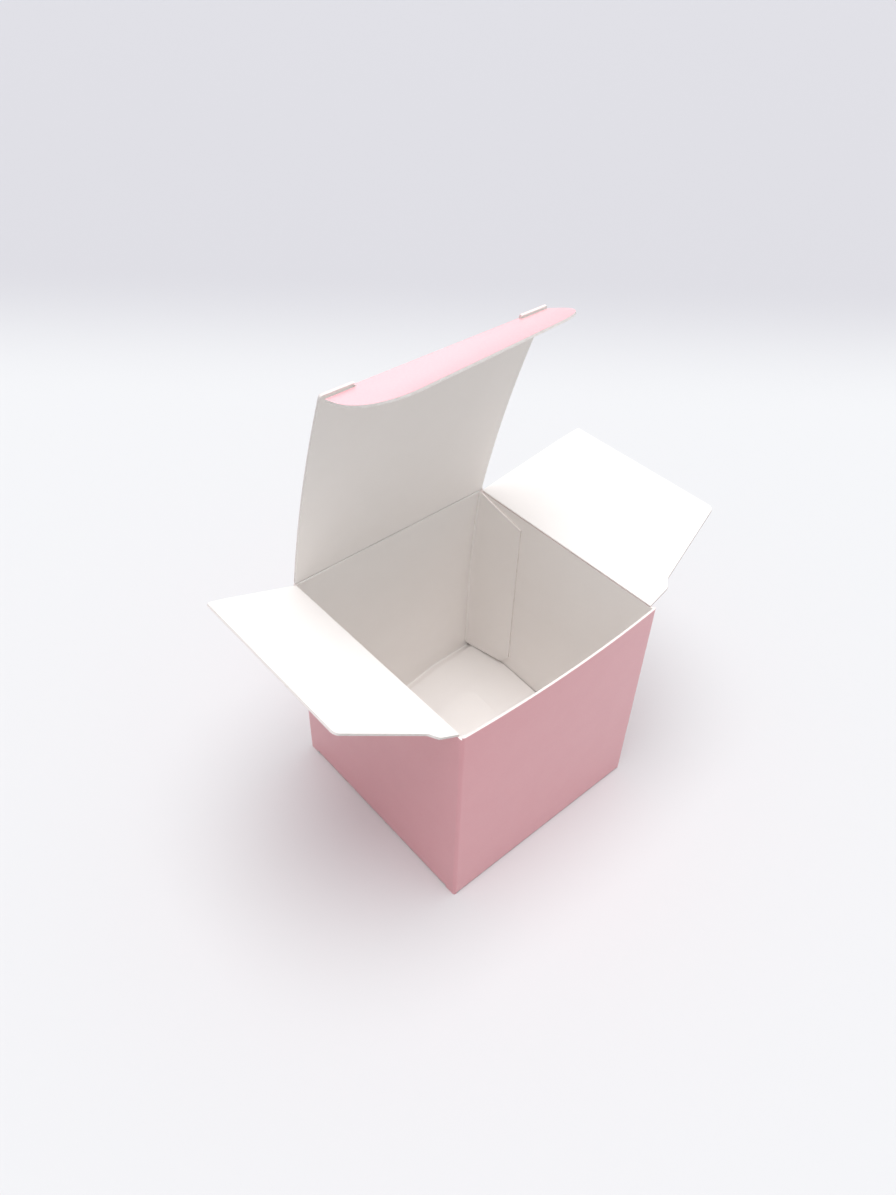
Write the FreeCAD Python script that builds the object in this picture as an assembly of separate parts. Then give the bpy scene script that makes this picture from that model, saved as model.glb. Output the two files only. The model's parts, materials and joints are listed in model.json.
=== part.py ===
import FreeCAD, Part
import math
import os

from FreeCAD import Vector

os.makedirs("parts", exist_ok=True)

# Outside size of the closed carton
width = 50.0
depth = 50.0
height = 50.0

# The card and how it bends
card = 0.45
inside_bend = 0.25
bottom_bend = 0.3
crease_gap = 0.05
layer_gap = 0.05

# How far the top edge of the front wall bellies out, and its nearly straight foot
front_bow = 0.9
foot_bow = 0.001

# The side walls stop below the rim by one thickness of card and this clearance
flap_clearance = 0.1

# Glued seam at the rear right corner
glue_flap_width = 12.8
glue_flap_top_slope = 2.9
glue_flap_foot_rise = 3.4
glue_flap_foot_slope = 0.9
glue_flap_cut_width = 2.2
glue_flap_cut_height = 2.7
seam_gap = 0.25
seam_length = 1.35

# Front bottom panel and the tongue that locks it
tongue_half_width = 12.7
tongue_tip = 12.6
tongue_corner = 4.0
tongue_ramp_start = -2.0
tongue_ramp_length = 4.0
front_panel_taper = 4.5
front_panel_straight = 2.0
panel_side_clearance = 0.35

# Rear bottom panel, cut away in the middle for the tongue
rear_panel_reach = 38.0
rear_panel_taper = 1.2
rear_panel_corner = 2.0
slot_clearance = 0.4
slot_corner = 1.0

# Side bottom flaps
side_flap_tongue_clearance = 1.0
side_flap_end_clearance = 3.0
side_flap_taper = 8.0
side_flap_corner = 1.5

# Lid, which curls inwards along its length; angles are counted from closed
lid_side_clearance = 0.375
lid_hinge_angle = 78.5
lid_end_angle = 69.4
lid_closed_rise = 3.2

# Slit ears beyond the tuck crease
ear_height = 1.0
slit_length = 6.5
slit_gap = 0.15
ear_corner = 0.5

# Tuck flap, which slides down inside the front wall; its angle is above level
tuck_length = 13.5
tuck_side_inset = 0.4
tuck_corner = 9.5
tuck_angle = 17.4
tuck_wall_clearance = 0.2

# Dust flaps, the same shape left and right
dust_meeting_gap = 0.55
dust_rear_clearance = 0.3
dust_lid_clearance = 0.25
dust_tuck_clearance = 0.2
dust_shoulder = 4.9
dust_shoulder_corner = 0.8
dust_notch_depth = 1.4
dust_notch_slope = 1.6
dust_front_taper = 3.5
dust_rear_bend = 20.0
dust_tip_corner = 0.5
dust_front_corner = 1.0
left_flap_angle = 149.6
right_flap_angle = 156.2

# Sizes that follow from the ones above
half_width = width / 2
half_depth = depth / 2
inner_half_width = half_width - card
inner_half_depth = half_depth - card
outside_bend = inside_bend + card
side_wall_top = height - card - flap_clearance
layer = card + layer_gap
bead = card / 2
lid_axis_y = half_depth - bead
lid_axis_z = height + crease_gap + bead
lid_half_width = half_width - lid_side_clearance
lid_turn = math.radians(lid_end_angle - lid_hinge_angle)
tucked_y = inner_half_depth - tuck_wall_clearance - bead
lid_chord = (lid_axis_y + tucked_y) / math.cos(math.radians(lid_closed_rise))
lid_radius = lid_chord / (2 * math.sin(lid_turn / 2))
lid_length = lid_radius * lid_turn
crease_half_length = lid_half_width - slit_length
flap_axis_x = half_width - bead
flap_axis_z = side_wall_top + crease_gap + bead
dust_flap_length = flap_axis_x - dust_meeting_gap / 2
bite = bead


def rounded_wire(points, place):
    """Closed wire through (a, b, radius) corners, each put in space by place."""
    starts, ends, middles = [], [], []
    for index, (a, b, radius) in enumerate(points):
        here = Vector(a, b, 0)
        before = Vector(points[index - 1][0], points[index - 1][1], 0)
        after = Vector(points[(index + 1) % len(points)][0], points[(index + 1) % len(points)][1], 0)
        to_before = (before - here).normalize()
        to_after = (after - here).normalize()
        if radius == 0:
            starts.append(here)
            ends.append(here)
            middles.append(None)
            continue
        half = to_before.getAngle(to_after) / 2
        reach = radius / math.tan(half)
        centre = here + (to_before + to_after).normalize() * (radius / math.sin(half))
        starts.append(here + to_before * reach)
        ends.append(here + to_after * reach)
        middles.append(centre + (here - centre).normalize() * radius)
    edges = []
    for index in range(len(points)):
        if middles[index] is not None:
            arc = Part.Arc(place(starts[index]), place(middles[index]), place(ends[index]))
            edges.append(arc.toShape())
        following = (index + 1) % len(points)
        if ends[index].distanceToPoint(starts[following]) > 1e-6:
            edges.append(Part.makeLine(place(ends[index]), place(starts[following])))
    return Part.Wire(edges)


def flat_panel(points, underside):
    """Level piece of card with its underside at the given height."""
    wire = rounded_wire(points, lambda p: Vector(p.x, p.y, underside))
    return Part.Face(wire).extrude(Vector(0, 0, card))


def mirrored(points):
    """The right-hand outline points followed by their left-hand mirror images."""
    return points + [(-a, b, radius) for a, b, radius in reversed(points)]


def ring_section(level, out, radius, bow):
    """Level section of the walls, grown outwards by out, with the front side bowed."""
    x = inner_half_width + out
    y = inner_half_depth + out
    edges = []
    corners = [(x, -y), (x, y), (-x, y), (-x, -y)]
    for index, (cx, cy) in enumerate(corners):
        nx, ny = corners[(index + 1) % 4]
        along = Vector(nx - cx, ny - cy, 0).normalize()
        start = Vector(cx, cy, level) + along * radius
        end = Vector(nx, ny, level) - along * radius
        if index == 3:
            middle = (start + end) * 0.5 - Vector(0, bow, 0)
            edges.append(Part.Arc(start, middle, end).toShape())
        else:
            edges.append(Part.makeLine(start, end))
        fx, fy = corners[(index + 2) % 4]
        onward = Vector(fx - nx, fy - ny, 0).normalize()
        turn = Vector(nx, ny, level) + onward * radius
        centre = end + onward * radius
        outwards = (Vector(nx, ny, level) - centre).normalize()
        edges.append(Part.Arc(end, centre + outwards * radius, turn).toShape())
    return Part.Wire(edges)


def walls():
    """Four walls, open at both ends, with the side walls a little lower."""
    outer = Part.makeLoft([ring_section(0, card, outside_bend, foot_bow),
                           ring_section(height, card, outside_bend, front_bow)], True, True)
    lower_edges = [e for e in outer.Edges if e.BoundBox.ZMax < 1e-3]
    outer = outer.makeFillet(bottom_bend, lower_edges)
    inner = Part.makeLoft([ring_section(0, 0, inside_bend, foot_bow),
                           ring_section(height, 0, inside_bend, front_bow)], True, True)
    lid_room = Part.makeBox(width + 2, 2 * inner_half_depth, height,
                            Vector(-half_width - 1, -inner_half_depth, side_wall_top))
    shape = outer.cut(inner)
    return shape.cut(lid_room)


def glue_flap():
    """Flap folded from the rear wall and glued inside the right wall."""
    front_y = inner_half_depth - glue_flap_width
    foot = glue_flap_foot_rise + glue_flap_foot_slope
    outline = [(inner_half_depth, side_wall_top), (front_y, side_wall_top - glue_flap_top_slope),
               (front_y, foot + glue_flap_cut_height), (front_y + glue_flap_cut_width, foot),
               (inner_half_depth, glue_flap_foot_rise)]
    points = [Vector(inner_half_width - card, y, z) for y, z in outline]
    face = Part.Face(Part.makePolygon(points + points[:1]))
    return face.extrude(Vector(card + bite, 0, 0))


def seam():
    """Narrow groove where the right wall's cut edge meets the rear bend."""
    return Part.makeBox(seam_length, seam_gap, height + 2,
                        Vector(inner_half_width, half_depth - bead - seam_gap, -1))


def front_bottom():
    """Front bottom panel with the tongue that rises over the rear panel."""
    front = -inner_half_depth - bite
    side = inner_half_width - panel_side_clearance
    panel = flat_panel(mirrored([(side, front, 0),
                                 (side, front_panel_straight - inner_half_depth, 0),
                                 (side - front_panel_taper, tongue_ramp_start, 0)]), 0)
    high = 3 * layer
    ramp_end = tongue_ramp_start + tongue_ramp_length
    half = tongue_half_width
    profile = [Vector(-half, tongue_ramp_start - card, 0), Vector(-half, tongue_ramp_start, 0),
               Vector(-half, ramp_end, high), Vector(-half, ramp_end, high + card),
               Vector(-half, tongue_ramp_start - card, card)]
    ramp = Part.Face(Part.makePolygon(profile + profile[:1])).extrude(Vector(2 * half, 0, 0))
    tongue = flat_panel(mirrored([(half, ramp_end - bite, 0), (half, tongue_tip, tongue_corner)]), high)
    return [panel, ramp, tongue]


def side_bottom(side):
    """Side bottom flap, held between the front and the rear panel."""
    root = inner_half_width + bite
    tip = tongue_half_width + side_flap_tongue_clearance
    back = inner_half_depth - side_flap_end_clearance
    points = [(root, back, 0), (root, -back, 0),
              (tip, -back + side_flap_taper, side_flap_corner),
              (tip, back - side_flap_taper, side_flap_corner)]
    if side < 0:
        points = [(-a, b, radius) for a, b, radius in reversed(points)]
    return flat_panel(points, layer)


def rear_bottom():
    """Rear bottom panel, whose two legs reach forward beside the tongue."""
    root = inner_half_depth + bite
    side = inner_half_width - panel_side_clearance
    front = inner_half_depth - rear_panel_reach
    slot = tongue_half_width + slot_clearance
    floor = tongue_ramp_start + tongue_ramp_length
    outline = [(side, root, 0), (side - rear_panel_taper, front, rear_panel_corner),
               (slot, front, rear_panel_corner), (slot, floor, slot_corner)]
    return flat_panel(mirrored(outline), 2 * layer)


def carton_body():
    """Walls, glued seam and interlocked bottom, folded from one sheet."""
    pieces = [glue_flap(), side_bottom(-1), side_bottom(1), rear_bottom()] + front_bottom()
    shape = walls().cut(seam())
    return shape.multiFuse(pieces).removeSplitter()


def lid_place(distance, offset):
    """Point of the lid in its own side view, offset towards the outside."""
    start = math.radians(lid_hinge_angle)
    now = start + distance / lid_radius
    y = lid_axis_y - lid_radius * (math.sin(now) - math.sin(start)) + offset * math.sin(now)
    z = lid_axis_z - lid_radius * (math.cos(now) - math.cos(start)) + offset * math.cos(now)
    return Vector(0, y, z)


def lid_inside_at(rise):
    """Front-to-back place of the lid's inner face at a height above its hinge."""
    start = math.radians(lid_hinge_angle)
    now = math.acos(math.cos(start) - rise / lid_radius)
    return lid_place((now - start) * lid_radius, -bead).y


def lid_strip(left, right, begin, end):
    """Curved strip of the lid between two distances from its hinge."""
    inner = [lid_place(d, -bead) for d in (begin, (begin + end) / 2, end)]
    outer = [lid_place(d, bead) for d in (begin, (begin + end) / 2, end)]
    edges = [Part.Arc(*inner).toShape(), Part.makeLine(inner[2], outer[2]),
             Part.Arc(*reversed(outer)).toShape(), Part.makeLine(outer[0], inner[0])]
    face = Part.Face(Part.Wire(edges))
    face.translate(Vector(left, 0, 0))
    return face.extrude(Vector(right - left, 0, 0))


def lid_panel():
    """Lid with its rounded hinge edge and the two slit ears at its far end."""
    crease = lid_length - bead - crease_gap
    hinge = Part.makeCylinder(bead, 2 * lid_half_width,
                              Vector(-lid_half_width, lid_axis_y, lid_axis_z), Vector(1, 0, 0))
    shape = hinge.multiFuse([lid_strip(-lid_half_width, lid_half_width, 0, crease)])
    tip = lid_length + ear_height
    shape = shape.multiFuse([lid_strip(-lid_half_width, -crease_half_length, crease - bead, tip),
                             lid_strip(crease_half_length, lid_half_width, crease - bead, tip)])
    shape = shape.removeSplitter()
    ends = [lid_place(tip, 0) + Vector(side * lid_half_width, 0, 0) for side in (-1, 1)]
    corners = [e for e in shape.Edges if min(e.CenterOfMass.distanceToPoint(p) for p in ends) < 1e-2]
    return shape.makeFillet(ear_corner, corners)


def tuck_flap():
    """Tuck flap with large round corners, joined to the lid between the slits."""
    axis = lid_place(lid_length, 0)
    half = lid_half_width - tuck_side_inset
    root = crease_half_length - slit_gap
    shoulder = ear_height + slit_gap
    outline = [(root, 0, 0), (root, shoulder, 0), (half, shoulder, 0), (half, tuck_length, tuck_corner)]
    wire = rounded_wire(mirrored(outline), lambda p: Vector(p.x, -p.y, -bead))
    plate = Part.Face(wire).extrude(Vector(0, 0, card))
    hinge = Part.makeCylinder(bead, 2 * root, Vector(-root, 0, 0), Vector(1, 0, 0))
    shape = plate.fuse(hinge).removeSplitter()
    shape.rotate(Vector(0, 0, 0), Vector(-1, 0, 0), tuck_angle)
    shape.translate(axis)
    return shape


def dust_flap(side, angle):
    """Dust flap with its lock shoulder towards the front wall."""
    rear = inner_half_depth - dust_rear_clearance
    front = tuck_wall_clearance + card + dust_tuck_clearance - inner_half_depth
    notch = front + dust_notch_depth
    tip = dust_flap_length
    outline = [(0, rear, 0),
               (dust_rear_bend, lid_inside_at(dust_rear_bend) - dust_lid_clearance, 0),
               (tip, lid_inside_at(tip) - dust_lid_clearance, dust_tip_corner),
               (tip, notch + dust_front_taper, dust_front_corner),
               (dust_shoulder + dust_notch_slope, notch, 0),
               (dust_shoulder, front, dust_shoulder_corner), (0, front, 0)]
    wire = rounded_wire(outline, lambda p: Vector(p.x, p.y, -bead))
    plate = Part.Face(wire).extrude(Vector(0, 0, card))
    hinge = Part.makeCylinder(bead, rear - front, Vector(0, front, 0), Vector(0, 1, 0))
    shape = plate.fuse(hinge).removeSplitter()
    shape.rotate(Vector(0, 0, 0), Vector(0, -1, 0), angle)
    if side > 0:
        shape = shape.mirror(Vector(0, 0, 0), Vector(1, 0, 0))
    shape.translate(Vector(side * flap_axis_x, 0, flap_axis_z))
    return shape


pieces = {
    "carton_body": carton_body(),
    "lid_panel": lid_panel(),
    "tuck_flap": tuck_flap(),
    "dust_flap_left": dust_flap(-1, left_flap_angle),
    "dust_flap_right": dust_flap(1, right_flap_angle),
}

for name, shape in pieces.items():
    solid = shape.Solids[0]
    solid.exportStep("parts/" + name + ".step")
    box = solid.BoundBox
    print(name, len(shape.Solids), solid.isValid(), round(solid.Volume, 2),
          [round(v, 2) for v in (box.XMin, box.XMax, box.YMin, box.YMax, box.ZMin, box.ZMax)])
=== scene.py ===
"""Small folding carton, pink outside and white inside, standing open on a pale table.

Every piece is one sheet of card on a grid: the blank as it was cut, and its two faces once folded.
All lengths are in metres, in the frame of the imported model.
"""

import json
import logging
import math
from dataclasses import dataclass
from enum import Enum

import bmesh
import bpy
import numpy as np
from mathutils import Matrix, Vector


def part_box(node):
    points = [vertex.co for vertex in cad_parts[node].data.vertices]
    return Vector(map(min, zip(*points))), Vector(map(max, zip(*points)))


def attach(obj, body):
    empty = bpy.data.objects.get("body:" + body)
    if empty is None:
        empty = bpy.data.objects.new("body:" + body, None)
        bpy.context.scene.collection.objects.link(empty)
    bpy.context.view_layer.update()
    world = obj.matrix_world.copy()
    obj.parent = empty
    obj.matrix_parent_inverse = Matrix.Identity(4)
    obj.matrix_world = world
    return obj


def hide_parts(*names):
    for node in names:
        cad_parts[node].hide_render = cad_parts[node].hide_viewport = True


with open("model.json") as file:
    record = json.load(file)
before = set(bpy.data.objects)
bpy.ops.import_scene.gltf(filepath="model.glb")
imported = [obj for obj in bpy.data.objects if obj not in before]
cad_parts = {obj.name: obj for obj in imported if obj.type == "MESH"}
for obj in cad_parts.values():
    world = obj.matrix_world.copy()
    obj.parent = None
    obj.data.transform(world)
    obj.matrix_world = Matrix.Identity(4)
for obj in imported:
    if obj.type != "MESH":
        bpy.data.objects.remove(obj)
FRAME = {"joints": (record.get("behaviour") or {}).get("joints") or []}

MM = 0.001
LOG = logging.getLogger("carton")

Array = np.ndarray
Colour = tuple[float, float, float]
Triple = tuple[float, float, float]
Segment = tuple[tuple[float, float], tuple[float, float]]

# Places on the card closer than this are the same place
NEAR = 0.02 * MM
# Edges sharper than this angle, in degrees, are drawn sharp
SHARP = 38
# How strongly a height in a finish tilts the light
BUMP_STRENGTH = 0.35


class Side(Enum):
    """The three surfaces of a piece of card, numbered as its material slots."""

    PRINT = 0
    BOARD = 1
    CUT = 2


class Hand(Enum):
    """Which side of the carton a piece is on, as a factor of X."""

    LEFT = -1
    RIGHT = 1


def srgb(red: int, green: int, blue: int) -> Colour:
    """Linear colour of three display values from 0 to 255.

    Args:
        red: red display value.
        green: green display value.
        blue: blue display value.

    Returns:
        The same colour as linear light.
    """
    shares = np.array([red, green, blue]) / 255
    linear = np.where(shares <= 0.04045, shares / 12.92, ((shares + 0.055) / 1.055) ** 2.4)
    return tuple(float(value) for value in linear)


def through(stops: list[float], step: float) -> Array:
    """Places that meet every stop, with about one step between neighbours.

    Args:
        stops: rising places that must be met.
        step: the longest distance wanted between two places.

    Returns:
        All places in rising order.
    """
    runs = []
    for start, end in zip(stops[:-1], stops[1:]):
        count = max(1, math.ceil((end - start) / step - 1e-9))
        runs.append(np.linspace(start, end, count, endpoint=False))
    return np.concatenate(runs + [np.array([stops[-1]])])


def stacked(*parts: Array) -> Array:
    """Points, or places on the blank, whose parts are spread over one grid."""
    return np.stack(np.broadcast_arrays(*parts), axis=-1)


def halfway(places: Array) -> Array:
    """Places halfway between neighbours."""
    return (places[:-1] + places[1:]) / 2


def round_end(end: float, radius: float, count: int) -> Array:
    """Places along a round corner that ends at a tip.

    Formula: tip less radius times one less the sine of an angle from 0 to 90 degrees.

    Args:
        end: place of the tip.
        radius: radius of the corner.
        count: how many places.

    Returns:
        Places after the corner's start, up to the tip.
    """
    angle = np.linspace(0, math.pi / 2, count + 1)[1:]
    return end - radius * (1 - np.sin(angle))


def corner_loss(to_tip: Array, radius: float) -> Array:
    """How far a round corner draws the side in.

    Formula: radius less the height of its circle at that distance from the tip.

    Args:
        to_tip: distance left to the tip.
        radius: radius of the corner.

    Returns:
        Distance lost from the side, zero before the corner starts.
    """
    into = np.clip(radius - to_tip, 0, radius)
    return radius - np.sqrt(np.maximum(radius**2 - into**2, 0))


def softened(places: Array, knots: list[float], values: list[float], reach: float) -> Array:
    """Broken line with softened corners.

    Formula: mean of the straight runs over a short window either side of each place.

    Args:
        places: where the line is wanted.
        knots: rising places of its corners.
        values: its value at each corner.
        reach: half of the window.

    Returns:
        The line's value at each place.
    """
    window = places[:, None] + np.linspace(-reach, reach, 9)[None, :]
    return np.interp(window, knots, values).mean(axis=1)


def smooth(share: Array) -> Array:
    """Smooth step from 0 to 1: three times the square less twice the cube."""
    held = np.clip(share, 0, 1)
    return held * held * (3 - 2 * held)


def between(places: Array, ends: tuple[float, float]) -> Array:
    """Smooth step from 0 at the first end to 1 at the second."""
    return smooth((places - ends[0]) / (ends[1] - ends[0]))


def to_segments(points: Array, starts: Array, ends: Array) -> Array:
    """Distance from each point of the blank to the nearest of some straight lines.

    Formula: the point is dropped on each line, the foot is held between its ends, and the
    shortest of the distances to the feet is kept.

    Args:
        points: places on the blank, one a row.
        starts: first ends of the lines.
        ends: second ends of the lines.

    Returns:
        One distance for each point.
    """
    along = ends - starts
    length = np.maximum((along**2).sum(axis=1), 1e-18)
    nearest = np.full(len(points), np.inf)
    for part in np.array_split(np.arange(len(starts)), max(1, len(starts) // 64)):
        offset = points[:, None, :] - starts[None, part, :]
        share = np.clip((offset * along[None, part, :]).sum(axis=2) / length[None, part], 0, 1)
        gap = offset - share[..., None] * along[None, part, :]
        nearest = np.minimum(nearest, np.sqrt((gap**2).sum(axis=2)).min(axis=1))
    return nearest


@dataclass
class CardGrid:
    """A piece of card on a grid of rows and columns.

    flat holds the blank's two coordinates, outer and inner the printed and the plain face in
    space, cells which squares of the grid are card, and folds the creases drawn on the blank.
    """

    flat: Array
    outer: Array
    inner: Array
    cells: Array
    folds: list[Segment]

    def rims(self) -> tuple[Array, Array]:
        """Finds the grid edges where the card ends.

        Formula: an edge with a kept square on one side only is an end of the card.

        Returns:
            First and second point numbers of each such edge, in the order of its square.
        """
        corners = self.corners()
        padded = np.pad(self.cells, 1)
        beside = [padded[:-2, 1:-1], padded[1:-1, 2:], padded[2:, 1:-1], padded[1:-1, :-2]]
        first, second = [], []
        for turn, neighbour in enumerate(beside):
            bare = self.cells & ~neighbour
            first.append(corners[..., turn][bare])
            second.append(corners[..., (turn + 1) % 4][bare])
        return np.concatenate(first), np.concatenate(second)

    def corners(self) -> Array:
        """Point numbers at the four corners of each square."""
        rows, columns = self.cells.shape
        number = np.arange((rows + 1) * (columns + 1)).reshape(rows + 1, columns + 1)
        return np.stack([number[:-1, :-1], number[:-1, 1:], number[1:, 1:], number[1:, :-1]], axis=-1)

    def skin(self) -> tuple[Array, Array, Array]:
        """Makes the closed skin of the card.

        Formula: a kept square gives one face on each side, and each end of the card a face
        from side to side. All faces are turned round if the volume they hold is negative.

        Returns:
            Points, faces as four point numbers, and the side that each face is.
        """
        shift = self.flat.shape[0] * self.flat.shape[1]
        top = self.corners()[self.cells]
        under = top[:, ::-1] + shift
        first, second = self.rims()
        edge = np.stack([second, first, first + shift, second + shift], axis=-1)
        faces = np.concatenate([top, under, edge])
        kinds = np.repeat([Side.PRINT.value, Side.BOARD.value, Side.CUT.value],
                          [len(top), len(under), len(edge)])
        points = np.concatenate([self.outer.reshape(-1, 3), self.inner.reshape(-1, 3)])
        corner = points[faces]
        halves = [(0, 1, 2), (0, 2, 3)]
        volume = sum(np.einsum("ij,ij->", corner[:, a], np.cross(corner[:, b], corner[:, c]))
                     for a, b, c in halves)
        if volume < 0:
            faces = faces[:, ::-1]
        return points, faces, kinds

    def fields(self) -> dict[str, Array]:
        """Works out what the finishes read at each point.

        Returns:
            to_cut and to_fold, the distances to the nearest cut edge and crease, ply, which is
            1 on the printed face and 0 on the plain one, and blank, the place on the blank.
        """
        points = self.flat.reshape(-1, 2)
        fold_starts = np.array([fold[0] for fold in self.folds])
        fold_ends = np.array([fold[1] for fold in self.folds])
        first, second = self.rims()
        middles = (points[first] + points[second]) / 2
        cut = to_segments(middles, fold_starts, fold_ends) > NEAR
        to_cut = to_segments(points, points[first[cut]], points[second[cut]])
        to_fold = to_segments(points, fold_starts, fold_ends)
        place = np.column_stack([points, np.zeros(len(points))])
        return {
            "to_cut": np.tile(to_cut, 2),
            "to_fold": np.tile(to_fold, 2),
            "ply": np.repeat([1.0, 0.0], len(points)),
            "blank": np.tile(place, (2, 1)),
        }

    def piece(self, name: str, finishes: dict[Side, bpy.types.Material]) -> bpy.types.Object:
        """Builds the object, with its fields as attributes and one material for each side.

        Args:
            name: name of the object.
            finishes: material of each side.

        Returns:
            The finished object, at the origin.
        """
        points, faces, kinds = self.skin()
        fields = self.fields()
        used = np.unique(faces)
        renumber = np.zeros(len(points), int)
        renumber[used] = np.arange(len(used))
        mesh = bpy.data.meshes.new(name)
        mesh.from_pydata(points[used].tolist(), [], renumber[faces].tolist())
        mesh.polygons.foreach_set("material_index", kinds.astype(np.int32))
        for label in ("to_cut", "to_fold", "ply"):
            mesh.attributes.new(label, "FLOAT", "POINT").data.foreach_set(
                "value", fields[label][used].astype(np.float32))
        mesh.attributes.new("blank", "FLOAT_VECTOR", "POINT").data.foreach_set(
            "vector", fields["blank"][used].astype(np.float32).ravel())
        work = bmesh.new()
        work.from_mesh(mesh)
        bmesh.ops.remove_doubles(work, verts=work.verts, dist=1e-7)
        work.to_mesh(mesh)
        work.free()
        mesh.polygons.foreach_set("use_smooth", np.ones(len(mesh.polygons), bool))
        mesh.set_sharp_from_angle(angle=math.radians(SHARP))
        for side in Side:
            mesh.materials.append(finishes[side])
        obj = bpy.data.objects.new(name, mesh)
        bpy.context.scene.collection.objects.link(obj)
        return obj


@dataclass(frozen=True)
class Board:
    """Sizes that all pieces share, read from the fixed frame."""

    half_width: float
    half_depth: float
    height: float
    bow: float
    card: float
    side_top: float
    lid_axis: tuple[float, float]
    tuck_axis: tuple[float, float]
    flap_axis: tuple[float, float]

    @classmethod
    def from_frame(cls) -> "Board":
        """Reads the walls' box and the places of the hinges.

        Returns:
            The shared sizes.
        """
        low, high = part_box("carton_body")
        places = {joint["name"]: joint["pos_m"] for joint in FRAME["joints"]}
        _, lid_y, lid_z = places["lid_hinge"]
        _, tuck_y, tuck_z = places["tuck_crease"]
        flap_x, _, flap_z = places["right_flap_hinge"]
        card = 2 * (high.y - lid_y)
        return cls(half_width=high.x, half_depth=high.y, height=high.z, bow=-low.y - high.y,
                   card=card, side_top=high.z - (lid_z - flap_z), lid_axis=(lid_y, lid_z),
                   tuck_axis=(tuck_y, tuck_z), flap_axis=(flap_x, flap_z))

    @property
    def half(self) -> float:
        """Half the thickness of the card."""
        return self.card / 2

    @property
    def middle_x(self) -> float:
        """Distance from the centre to the middle of a side wall's card."""
        return self.half_width - self.half

    @property
    def middle_y(self) -> float:
        """Distance from the centre to the middle of the front or rear wall's card."""
        return self.half_depth - self.half


def hinge_rows(half: float, count: int = 5) -> tuple[Array, Array]:
    """Rows of a half-round root, before the first flat row.

    Formula: along a half circle of the card's thickness, the row lies back by the cosine and
    the face stands off by the sine.

    Args:
        half: half the thickness of the card.
        count: how many rows.

    Returns:
        Place of each row and the face's stand-off there.
    """
    angle = np.linspace(0, math.pi / 2, count + 1)[:-1]
    return -half * np.cos(angle), half * np.sin(angle)


@dataclass(frozen=True)
class Wall:
    """One wall of the carton as the blank runs round it.

    along is the way the blank runs, inward the way into the carton, span the distance from
    the centre to the middle of its card, and centre its middle line on the blank.
    """

    along: tuple[float, float]
    inward: tuple[float, float]
    span: float
    centre: float

    def place(self, across: Array, depth: Array, level: Array) -> Array:
        """Puts places of this wall in space.

        Formula: the wall's middle line, moved along the wall and into the carton.

        Args:
            across: distance along the wall from its middle.
            depth: distance into the carton.
            level: height.

        Returns:
            Points, one for each combination given.
        """
        across, depth, level = np.broadcast_arrays(across, depth, level)
        x = self.along[0] * across + self.inward[0] * (depth - self.span)
        y = self.along[1] * across + self.inward[1] * (depth - self.span)
        return np.stack([x, y, level], axis=-1)


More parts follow.
